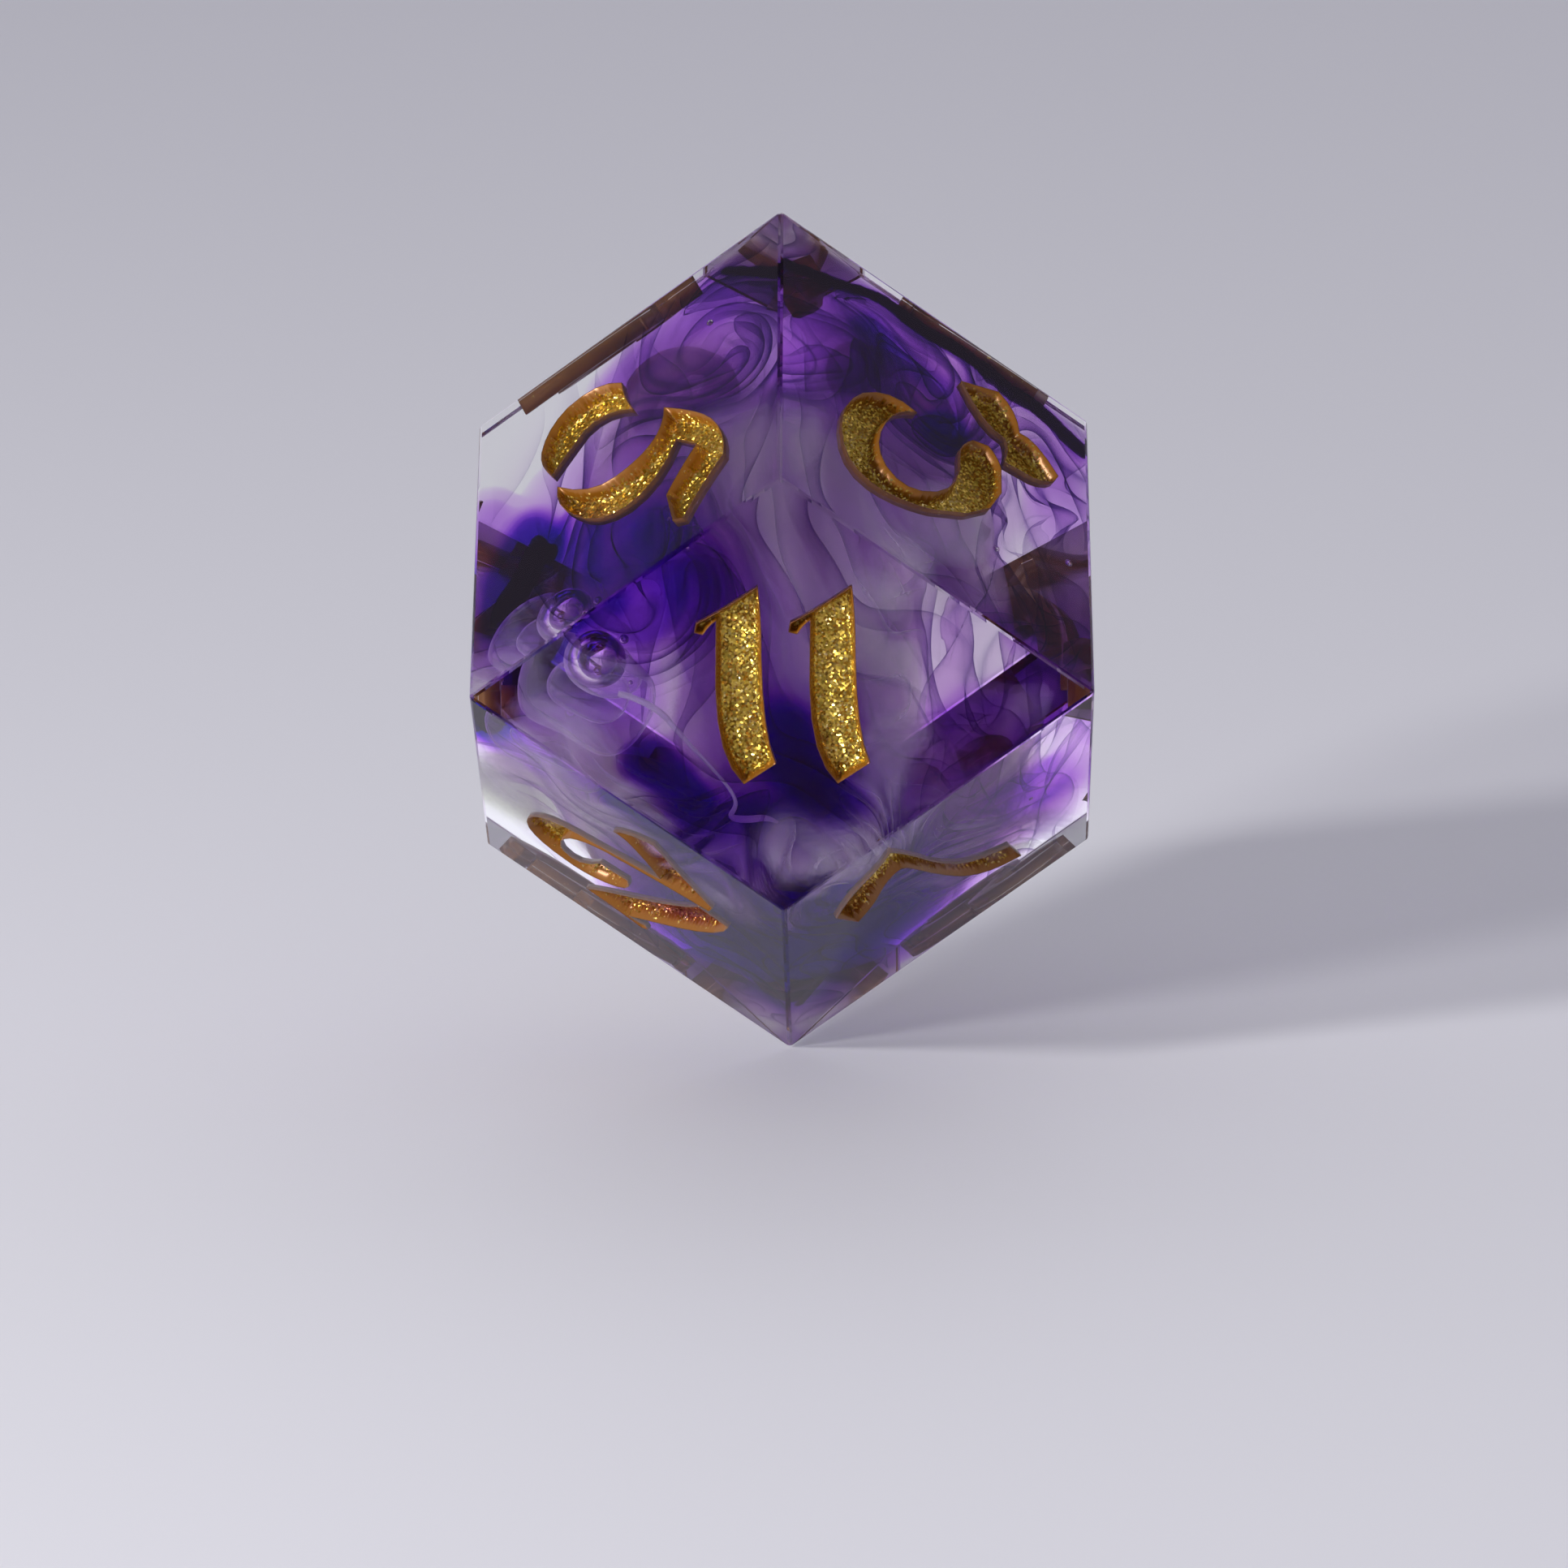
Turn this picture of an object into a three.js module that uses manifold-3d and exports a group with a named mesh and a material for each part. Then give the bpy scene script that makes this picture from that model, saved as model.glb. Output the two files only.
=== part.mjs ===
// A sharp-edged twelve-sided die, cast in clear resin as a rhombic dodecahedron.
// Every face has its number engraved as a few separate pen strokes, and every stroke
// holds its own inlay of gold paint. Millimetres, +Z up, origin at the die's centre.
// The die stands on one of its six four-edged corners, with the number 11 facing -Y.

import * as THREE from 'three';
import { mergeVertices } from 'three/addons/utils/BufferGeometryUtils.js';
import Module from 'manifold-3d';

const wasm = await Module();
wasm.setup();

// ---- driving dimensions ----

const FACE_TO_FACE = 20;        // between two opposite faces
const GROOVE_DEPTH = 0.7;       // how deep a numeral is engraved
const CUTTER_RISE = 0.4;        // how far the engraving tool starts above the face
const PAINT_GAP = 0.04;         // between the paint and the wall and floor of its groove
const PAINT_RECESS = 0.2;       // how far the paint's surface lies below the face
const PAIR_SCALE = 0.82;        // size of a digit in a two-digit number
const MARKED_SCALE = 0.82;      // size of the 6 and the 9, which share the face with a mark
const PAIR_RISE = 0.3;          // a two-digit number sits this much above the face's centre
const CURVE_STEPS = 4;          // straight steps in each curved leg of a stroke

const HALF_HEIGHT = FACE_TO_FACE / 2;             // centre of the die to the centre of a face
const LONG_HALF = FACE_TO_FACE / 2;               // half of a face's long diagonal
const SHORT_HALF = FACE_TO_FACE / (2 * Math.SQRT2); // half of its short diagonal

// ---- the pen strokes of the digits ----
// Millimetres at the full size of about 7.9 mm, from the centre of the digit. A stroke is
// one closed outline: a leg is a straight line to [x, y], or a curve [pull x, pull y, x, y].

function stroke(start, ...legs) {
  const shape = new THREE.Shape();
  shape.moveTo(...start);
  for (const leg of legs) {
    if (leg.length === 2) shape.lineTo(...leg);
    else shape.quadraticCurveTo(...leg);
  }
  const outline = shape.extractPoints(CURVE_STEPS).shape;
  if (outline.at(-1).equals(outline[0])) outline.pop();
  return outline;
}

// The same outline turned half round, scaled and shifted, in that order.
function placed(outline, { turned = false, scale = 1, right = 0, up = 0 }) {
  const factor = turned ? -scale : scale;
  return outline.map((point) => new THREE.Vector2(right + factor * point.x, up + factor * point.y));
}

const zeroLeft = stroke([-0.3, 3.95], [-2.6, 3.2, -2.65, 0], [-2.6, -2.9, -0.45, -3.9],
  [-0.35, -2.95], [-1.3, -1.9, -1.35, 0.1], [-1.3, 2.1, -0.3, 2.95]);

const zero = {
  left: zeroLeft,
  right: placed(zeroLeft, { turned: true }),
};

const one = {
  stem: stroke([0.7, 3.9], [0.84, 2.9, 0.82, 1.18], [0.84, -2, 1.34, -3.09], [0.11, -3.88],
    [-0.95, -2.9, -0.95, 0], [-0.9, 2.65], [-1.2, 2.45, -1.44, 2.08], [-1.74, 2.16],
    [-1.68, 2.48], [-0.7, 2.95, 0.7, 3.9]),
};

const two = {
  stroke: stroke([-1.62, 0.33], [-2.7, 0.75, -2.2, 2.1], [-1.8, 3.1, -0.95, 3.5],
    [0.1, 4.2, 1.1, 3.98], [2.2, 3.6, 2.22, 2.4], [2.2, 1.5, 0.95, 0.2], [0, -1, -0.87, -2.16],
    [0.4, -2.4, 1.7, -2.27], [2.1, -2.2, 2.37, -1.94], [2.6, -2.8, 1.94, -3.88],
    [0, -3.8, -2.37, -3.99], [-2.7, -3.56], [-1.6, -2.5, 0.43, -0.05], [1.1, 0.9, 0.98, 1.7],
    [0.7, 2.8, -0.22, 3.01], [-1.4, 3, -0.65, 1.18]),
};

const three = {
  top_bar: stroke([-2.33, 2.92], [-1.68, 4.15], [-0.8, 4.4, 0, 3.89], [0.3, 4.4, 1.86, 4.33],
    [2.2, 3.9, 1.77, 3.27], [0.97, 2.51], [0.5, 3.1, 0.09, 3.15], [-0.5, 2.6, -2.33, 2.92]),
  bowl: stroke([0.27, 2.25], [-0.05, 1.77], [-0.05, 1.2, 0.4, 0.85], [1.65, 0.1, 1.6, -1.1],
    [1.45, -2.45, 0.3, -2.48], [-0.7, -2.45, -1.35, -1.3], [-1.8, -0.5, -1.47, 0.21],
    [-2.6, -0.3, -2.55, -1.5], [-2.4, -2.6, -1.41, -3.27], [-0.2, -4.1, 0.8, -3.5],
    [1.6, -3, 2.2, -1.75], [3.4, 1.1, 1.2, 2.15], [0.75, 2.35, 0.27, 2.25]),
};

const four = {
  slope: stroke([0.75, 3.95], [-0.6, 1.6, -1.4, 0.1], [-0.25, 0.05], [-0.15, -0.95],
    [-1.4, -0.7, -2.45, -1.15], [-2.8, -0.6, -2.35, -0.1], [-0.9, 1.9, -0.35, 3.2],
    [-0.1, 3.7, 0.75, 3.95]),
  stem: stroke([1.6, 1.9], [1.45, 1, 1.5, 0.15], [2.55, 0.3], [2.15, -0.85], [1.5, -0.85],
    [1.5, -2.4, 1.95, -3.1], [0.85, -3.9], [0.25, -2.9, 0.3, -0.85], [0.3, 1.2],
    [0.8, 1.6, 1.6, 1.9]),
};

const five = {
  upper_bowl: stroke([-0.53, 4.1], [0.9, 4, 2.05, 4.12], [2.21, 3.77], [1.33, 2.83],
    [0.3, 2.7, -0.74, 2.74], [-0.8, 1.73], [0.9, 2.2, 2, 1.45], [2.95, 0.7, 2.66, -0.5],
    [2.5, -1.6, 1.77, -1.98], [1.9, -0.4, 1, 0.2], [0.3, 0.7, -0.4, 0.8], [-1.2, 0.9, -1.86, 0.39],
    [-2, 1.9, -1.75, 2.65], [-1.4, 3.6, -0.53, 4.1]),
  lower_arc: stroke([-1.6, -0.87], [-1.9, -1.6, -2.51, -2.12], [-2.45, -3.2, -1.24, -3.73],
    [-0.3, -4.05, 0.62, -3.6], [1.15, -3.3, 1.36, -2.56], [0.4, -2.5, -0.5, -2.4],
    [-1.45, -2.1, -1.6, -0.87]),
};

const six = {
  back: stroke([1.75, 3.15], [1.15, 3.95], [-1.2, 3.1, -2.2, 0.9], [-2.95, -1.2, -2, -2.85],
    [-1.3, -3.8, 0, -3.9], [0.1, -3], [-0.9, -2.8, -1.1, -1.3], [-1.35, 0.3, -0.5, 1.6],
    [0.5, 2.9, 1.75, 3.15]),
  bowl: stroke([-0.5, 0.4], [0.7, 1.5, 1.75, 0.75], [2.9, -0.2, 2.45, -1.9], [2, -3.3, 0.7, -3.8],
    [0.7, -3], [1.3, -2.5, 1.25, -1.3], [1.2, -0.1, 0.4, -0.05], [-0.1, -0.05, -0.5, 0.4]),
};

const nine = {
  back: placed(six.back, { turned: true }),
  bowl: placed(six.bowl, { turned: true }),
};

const seven = {
  stroke: stroke([-2.03, 2.3], [-1.41, 3.71], [-0.2, 4.05, 0.9, 3.8], [1.6, 3.7, 2.3, 3.84],
    [1.9, 2.7, 1.06, 1.15], [0.1, -0.9, 0.45, -1.8], [0.8, -2.74], [-0.05, -3.89],
    [-0.85, -2.9, -0.55, -1.6], [-0.3, -0.6, 0.65, 1.4], [1, 2.1, 1.02, 2.45],
    [0.5, 2.75, -0.35, 2.47], [-1.2, 2.2, -2.03, 2.3]),
};

const eight = {
  spine: stroke([1.25, 3.4], [0.5, 4.05, -0.5, 3.9], [-2.1, 3.6, -1.95, 2], [-1.8, 0.9, -0.4, 0.2],
    [1.3, -0.6, 1.35, -1.8], [1.25, -2.9, 0, -3.1], [-0.25, -3.9], [2.6, -4.3, 2.6, -1.9],
    [2.5, -0.5, 0.7, 0.45], [-0.8, 1.2, -0.75, 2.2], [-0.6, 3.1, 0.45, 3]),
  upper_arc: stroke([1.35, 0.65], [2.4, 1.3, 2.1, 2.6], [1.25, 2.45], [1.35, 1.6, 0.6, 1.1]),
  lower_arc: stroke([-1.05, -0.05], [-2.6, -0.9, -2.55, -2.2], [-2.4, -3.4, -0.85, -3.8],
    [-0.7, -3.05], [-1.4, -2.8, -1.4, -1.9], [-1.3, -1.1, -0.45, -0.6]),
};

// The small bar that tells which way up a 6 or a 9 is read.
const mark = stroke([-1.5, -4.6], [-1.05, -3.85], [-0.4, -3.75, 0, -4], [0.6, -4.2, 1.35, -3.8],
  [1.65, -4.2], [1.2, -4.75], [0.5, -4.95, 0, -4.7], [-0.6, -4.45, -1.5, -4.6]);

// ---- the numbers as they are laid out on a face ----

function pair(left, leftShift, right, rightShift) {
  const strokes = {};
  for (const [name, outline] of Object.entries(left)) {
    strokes[`tens_${name}`] = placed(outline, { scale: PAIR_SCALE, right: leftShift, up: PAIR_RISE });
  }
  for (const [name, outline] of Object.entries(right)) {
    strokes[`units_${name}`] = placed(outline, { scale: PAIR_SCALE, right: rightShift, up: PAIR_RISE });
  }
  return strokes;
}

function marked(digit) {
  const strokes = { mark };
  for (const [name, outline] of Object.entries(digit)) {
    strokes[name] = placed(outline, { scale: MARKED_SCALE, up: 0.35 });
  }
  return strokes;
}

// The twelve faces, by the direction each one looks in. Opposite numbers add up to 13.
const FACES = [
  { number: 11, looks: [0, -1, 0], strokes: pair(one, -1.33, one, 1.68) },
  { number: 2, looks: [0, 1, 0], strokes: two },
  { number: 4, looks: [-1, 0, 0], strokes: four },
  { number: 9, looks: [1, 0, 0], strokes: marked(nine) },
  { number: 5, looks: [-1, -1, 1], strokes: five },
  { number: 3, looks: [1, -1, 1], strokes: three },
  { number: 6, looks: [-1, 1, 1], strokes: marked(six) },
  { number: 1, looks: [1, 1, 1], strokes: one },
  { number: 12, looks: [-1, -1, -1], strokes: pair(one, -2.2, two, 0.95) },
  { number: 7, looks: [1, -1, -1], strokes: seven },
  { number: 10, looks: [-1, 1, -1], strokes: pair(one, -2.1, zero, 1.1) },
  { number: 8, looks: [1, 1, -1], strokes: eight },
];

// ---- frames of the faces ----

// The eight sloping faces lean 45 degrees: their normals have a Z part of 1 / sqrt(2).
function faceNormal(looks) {
  const [x, y, z] = looks;
  return new THREE.Vector3(x, y, z * Math.SQRT2).normalize();
}

// A numeral stands along the short diagonal: upright on the four vertical faces, and
// the same way round the die on the four upper and the four lower ones.
function faceUp(looks) {
  const upright = new THREE.Vector3(0, 0, 1);
  if (looks[2] === 0) return upright;
  return upright.cross(faceNormal(looks)).normalize().multiplyScalar(looks[2]);
}

// A group at the centre of the face: X to the reader's right, Y up the numeral, Z outwards.
function faceGroup({ looks }) {
  const normal = faceNormal(looks);
  const up = faceUp(looks);
  const right = up.clone().cross(normal);
  const group = new THREE.Group();
  group.position.copy(normal).multiplyScalar(HALF_HEIGHT);
  group.quaternion.setFromRotationMatrix(new THREE.Matrix4().makeBasis(right, up, normal));
  group.updateMatrixWorld();
  return group;
}

// ---- solids ----

function toManifold(geometry) {
  const bare = geometry.clone();
  bare.deleteAttribute('normal');
  bare.deleteAttribute('uv');
  const merged = mergeVertices(bare, 1e-5);
  return new wasm.Manifold(new wasm.Mesh({
    numProp: 3,
    vertProperties: new Float32Array(merged.attributes.position.array),
    triVerts: new Uint32Array(merged.index.array),
  }));
}

function toGeometry(manifold) {
  const { vertProperties, triVerts } = manifold.getMesh();
  const geometry = new THREE.BufferGeometry();
  geometry.setAttribute('position', new THREE.BufferAttribute(vertProperties, 3));
  geometry.setIndex(new THREE.BufferAttribute(triVerts, 1));
  geometry.computeVertexNormals();
  return geometry;
}

// The plain polyhedron: two triangles on each rhombus, corners taken from its face frame.
function polyhedronGeometry() {
  const positions = [];
  for (const face of FACES) {
    const frame = faceGroup(face);
    const corners = [[LONG_HALF, 0], [0, SHORT_HALF], [-LONG_HALF, 0], [0, -SHORT_HALF]];
    const toWorld = ([x, y]) => frame.localToWorld(new THREE.Vector3(x, y, 0));
    const [east, north, west, south] = corners.map(toWorld);
    for (const corner of [east, north, west, west, south, east]) positions.push(...corner.toArray());
  }
  const geometry = new THREE.BufferGeometry();
  geometry.setAttribute('position', new THREE.Float32BufferAttribute(positions, 3));
  return geometry;
}

// The direction to the left of a line, which is inwards for an outline that runs anticlockwise.
function leftOf(from, to) {
  const quarterTurn = Math.PI / 2;
  return to.clone().sub(from).normalize().rotateAround(new THREE.Vector2(), quarterTurn);
}

// The outline moved inwards by the same distance all round.
function inset(outline, distance) {
  const points = THREE.ShapeUtils.isClockWise(outline) ? [...outline].reverse() : outline;
  return points.map((point, index) => {
    const before = points.at(index - 1);
    const after = points[(index + 1) % points.length];
    const first = leftOf(before, point);
    const second = leftOf(point, after);
    const miter = first.clone().add(second).multiplyScalar(distance / (1 + first.dot(second)));
    return point.clone().add(miter);
  });
}

function slab(outline, low, high) {
  const geometry = new THREE.ExtrudeGeometry(new THREE.Shape(outline), {
    depth: high - low,
    bevelEnabled: false,
  });
  return geometry.translate(0, 0, low);
}

// ---- the die ----

function resinBody() {
  let solid = toManifold(polyhedronGeometry());
  for (const face of FACES) {
    const frame = faceGroup(face);
    for (const outline of Object.values(face.strokes)) {
      const cutter = slab(outline, -GROOVE_DEPTH, CUTTER_RISE).applyMatrix4(frame.matrixWorld);
      solid = solid.subtract(toManifold(cutter));
    }
  }
  const material = new THREE.MeshStandardMaterial({ color: 0x7a55b8, roughness: 0.05, metalness: 0 });
  const mesh = new THREE.Mesh(toGeometry(solid), material);
  mesh.name = 'resin_body';
  return mesh;
}

function paintInlay(name, outline) {
  const floor = -GROOVE_DEPTH + PAINT_GAP;
  const material = new THREE.MeshStandardMaterial({ color: 0xb8862e, roughness: 0.35, metalness: 0.9 });
  const mesh = new THREE.Mesh(slab(inset(outline, PAINT_GAP), floor, -PAINT_RECESS), material);
  mesh.name = name;
  return mesh;
}

const die = new THREE.Group();
die.add(resinBody());
for (const face of FACES) {
  const frame = faceGroup(face);
  const number = String(face.number).padStart(2, '0');
  for (const [name, outline] of Object.entries(face.strokes)) {
    frame.add(paintInlay(`gold_${number}_${name}`, outline));
  }
  die.add(frame);
}

export default die;
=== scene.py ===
"""A sharp-edged twelve-sided die of clear resin, violet ink and gold paint, on a pale floor."""

import math

import bmesh
import bpy
import numpy as np
import openvdb
from mathutils import Matrix, Quaternion, Vector
from mathutils.geometry import delaunay_2d_cdt


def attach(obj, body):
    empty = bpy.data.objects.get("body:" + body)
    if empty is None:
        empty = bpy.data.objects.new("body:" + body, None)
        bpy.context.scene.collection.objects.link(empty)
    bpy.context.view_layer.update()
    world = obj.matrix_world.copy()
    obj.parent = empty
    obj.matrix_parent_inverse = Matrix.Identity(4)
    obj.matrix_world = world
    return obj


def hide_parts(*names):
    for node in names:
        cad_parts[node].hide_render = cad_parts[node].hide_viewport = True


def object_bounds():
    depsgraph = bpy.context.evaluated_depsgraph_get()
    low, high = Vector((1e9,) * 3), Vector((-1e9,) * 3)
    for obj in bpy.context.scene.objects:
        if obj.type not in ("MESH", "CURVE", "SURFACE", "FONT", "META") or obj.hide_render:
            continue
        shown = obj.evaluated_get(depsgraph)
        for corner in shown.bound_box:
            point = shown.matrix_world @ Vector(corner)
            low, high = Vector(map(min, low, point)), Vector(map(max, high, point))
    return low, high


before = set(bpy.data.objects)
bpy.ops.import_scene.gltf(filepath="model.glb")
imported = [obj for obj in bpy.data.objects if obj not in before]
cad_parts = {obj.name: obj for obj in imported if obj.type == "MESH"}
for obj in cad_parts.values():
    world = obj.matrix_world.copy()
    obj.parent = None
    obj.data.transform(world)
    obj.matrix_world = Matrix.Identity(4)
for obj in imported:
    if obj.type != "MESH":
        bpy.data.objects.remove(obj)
cad_low, cad_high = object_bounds()

MM = 0.001
HALF_WIDTH = (cad_high[1] - cad_low[1]) / 2       # centre of the die to the centre of a face
CORNER_HEIGHT = (cad_high[2] - cad_low[2]) / 2    # centre of the die to a four-edged corner
LONG_HALF = HALF_WIDTH                            # half of a face's long diagonal
SHORT_HALF = HALF_WIDTH / math.sqrt(2)            # half of its short diagonal
FLOOR_Z = cad_low[2]

# ---- where the camera stands ----

CAMERA_DISTANCE = 283.6 * MM
CAMERA_HEIGHT_ANGLE = math.radians(11.4)
CAMERA_SIDE_ANGLE = math.radians(0.77)            # to the right of the face with the 11
CAMERA_AIM = Vector((-0.1, 0, -5.1)) * MM
CAMERA_ROLL = math.radians(-0.63)
CAMERA_LENS = 196.6                               # millimetres on a 36 mm wide sensor


def add_camera():
    flat = CAMERA_DISTANCE * math.cos(CAMERA_HEIGHT_ANGLE)
    place = Vector((
        flat * math.sin(CAMERA_SIDE_ANGLE),
        -flat * math.cos(CAMERA_SIDE_ANGLE),
        CAMERA_DISTANCE * math.sin(CAMERA_HEIGHT_ANGLE),
    ))
    data = bpy.data.cameras.new("camera")
    data.lens = CAMERA_LENS
    data.sensor_width = 36
    data.clip_start = 1 * MM
    data.clip_end = 20
    camera = bpy.data.objects.new("camera", data)
    bpy.context.scene.collection.objects.link(camera)
    looking = (CAMERA_AIM - place).to_track_quat("-Z", "Y")
    camera.rotation_mode = "QUATERNION"
    camera.rotation_quaternion = looking @ Quaternion((0, 0, 1), CAMERA_ROLL)
    camera.location = place
    bpy.context.scene.camera = camera


# ---- small helpers ----

def add_object(name, data):
    piece = bpy.data.objects.new(name, data)
    bpy.context.scene.collection.objects.link(piece)
    return piece


def new_material(name):
    material = bpy.data.materials.new(name)
    material.use_nodes = True
    material.node_tree.nodes.clear()
    return material, material.node_tree


def add_node(tree, kind, **inputs):
    node = tree.nodes.new(kind)
    for key, value in inputs.items():
        node.inputs[key.replace("_", " ")].default_value = value
    return node


def link(tree, source, target):
    tree.links.new(source, target)


def maths(tree, operation, first, second):
    node = tree.nodes.new("ShaderNodeMath")
    node.operation = operation
    for socket, value in zip(node.inputs, (first, second)):
        if isinstance(value, (int, float)):
            socket.default_value = value
        else:
            link(tree, value, socket)
    return node.outputs[0]


def colour_ramp(tree, value, stops):
    stops = list(stops)
    ramp = tree.nodes.new("ShaderNodeValToRGB")
    while len(ramp.color_ramp.elements) < len(stops):
        ramp.color_ramp.elements.new(0.5)
    for element, (position, colour) in zip(ramp.color_ramp.elements, stops):
        element.position = position
        element.color = colour
    link(tree, value, ramp.inputs[0])
    return ramp.outputs[0]


def mixed(tree, kind, factor, first, second):
    node = tree.nodes.new("ShaderNodeMix")
    node.data_type = kind
    sockets = {"FLOAT": (2, 3), "VECTOR": (4, 5), "RGBA": (6, 7)}[kind]
    for index, value in zip((0,) + sockets, (factor, first, second)):
        if isinstance(value, (int, float, tuple)):
            node.inputs[index].default_value = value
        else:
            link(tree, value, node.inputs[index])
    return node.outputs[{"FLOAT": 0, "VECTOR": 1, "RGBA": 2}[kind]]


def show(tree, shader, socket="Surface"):
    """Makes the shader the material's surface or volume."""
    output = tree.nodes.get("Material Output") or tree.nodes.new("ShaderNodeOutputMaterial")
    link(tree, shader.outputs[0], output.inputs[socket])


def shade_smooth(data):
    data.polygons.foreach_set("use_smooth", [True] * len(data.polygons))


# ---- the faces of the die ----

def face_frames():
    """One matrix for each face: X and Y along the long and short diagonals, Z outwards."""
    frames = []
    for x, y, z in ((0, -1, 0), (0, 1, 0), (-1, 0, 0), (1, 0, 0)):
        frames.append((Vector((x, y, z)), Vector((0, 0, 1))))
    for z in (1, -1):
        for y in (-1, 1):
            for x in (-1, 1):
                normal = Vector((x, y, z * math.sqrt(2))).normalized()
                frames.append((normal, Vector((0, 0, 1)).cross(normal).normalized()))
    matrices = []
    for normal, up in frames:
        right = up.cross(normal)
        turn = Matrix((right, up, normal)).transposed().to_4x4()
        matrices.append(Matrix.Translation(normal * HALF_WIDTH) @ turn)
    return matrices


FACES = face_frames()


# ---- outlines of the numerals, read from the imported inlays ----

def inlay_outline(node):
    """The face an inlay lies in, and its outline there as (x, y) pairs, anticlockwise."""
    mesh = bmesh.new()
    mesh.from_mesh(node.data)
    bmesh.ops.remove_doubles(mesh, verts=mesh.verts, dist=1e-3 * MM)
    middle = sum((v.co for v in mesh.verts), Vector()) / len(mesh.verts)
    matrix = max(FACES, key=lambda face: middle.dot(face.col[2].to_3d()))
    back = matrix.inverted()
    normal = matrix.col[2].to_3d()
    mesh.normal_update()
    top = {f for f in mesh.faces if f.normal.dot(normal) > 0.9}
    follows = {}
    for face in top:
        for loop in face.loops:
            if any(other not in top for other in loop.edge.link_faces):
                follows[loop.vert] = loop.link_loop_next.vert
    start = next(iter(follows))
    outline = []
    vert = start
    while True:
        local = back @ vert.co
        outline.append((local.x, local.y))
        vert = follows[vert]
        if vert is start:
            break
    mesh.free()
    return matrix, np.array(outline)


def offset(outline, distance):
    """The outline moved outwards by distance."""
    before = np.roll(outline, 1, axis=0)
    after = np.roll(outline, -1, axis=0)

    def outward(start, end):
        along = end - start
        along /= np.linalg.norm(along, axis=1)[:, None]
        return np.stack([along[:, 1], -along[:, 0]], axis=1)

    first, second = outward(before, outline), outward(outline, after)
    share = 1 + (first * second).sum(1)
    return outline + (first + second) * (distance / np.maximum(share, 0.35))[:, None]


def distance_inside(points, outline):
    """How far each point is from the outline."""
    start, end = outline, np.roll(outline, -1, axis=0)
    along = end - start
    t = ((points[:, None] - start) * along).sum(2) / (along ** 2).sum(1)
    nearest = start + np.clip(t, 0, 1)[:, :, None] * along
    return np.sqrt(((points[:, None] - nearest) ** 2).sum(2)).min(1)


def is_inside(points, outline):
    start, end = outline, np.roll(outline, -1, axis=0)
    y = points[:, None, 1]
    crosses = (start[:, 1] > y) != (end[:, 1] > y)
    slope = (end[:, 0] - start[:, 0]) / np.where(end[:, 1] == start[:, 1], 1, end[:, 1] - start[:, 1])
    left = points[:, None, 0] < start[:, 0] + (y - start[:, 1]) * slope
    return (crosses & left).sum(1) % 2 == 1


# ---- gold paint ----

GROOVE_DEPTH = 0.7 * MM
CUTTER_RISE = 0.4 * MM         # how far the groove's cutter stands out of the face
PAINT_GAP = 0.04 * MM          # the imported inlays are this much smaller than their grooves
PAINT_FLOOR = 0.58 * MM        # depth of the paint's surface in the middle of a wide stroke
WALL_REACH = 0.20 * MM         # how far in from the edge the paint reaches that depth
PAINT_GRID = 0.07 * MM
RIM_DEPTH = 0.012 * MM
PAINT_BITE = 0.02 * MM         # how far the paint's back sits in the resin, so no air is between


def paint_depth(distance):
    """Depth of the paint's surface below the face: a steep wall, then a rounded floor."""
    t = np.clip(distance / WALL_REACH, 0, 1)
    return RIM_DEPTH + (PAINT_FLOOR - RIM_DEPTH) * (1 - (1 - t) ** 2.6)


def refined(outline, step):
    points = []
    for start, end in zip(outline, np.roll(outline, -1, axis=0)):
        count = max(1, int(np.linalg.norm(end - start) / step))
        points += [start + (end - start) * i / count for i in range(count)]
    return np.array(points)


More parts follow.
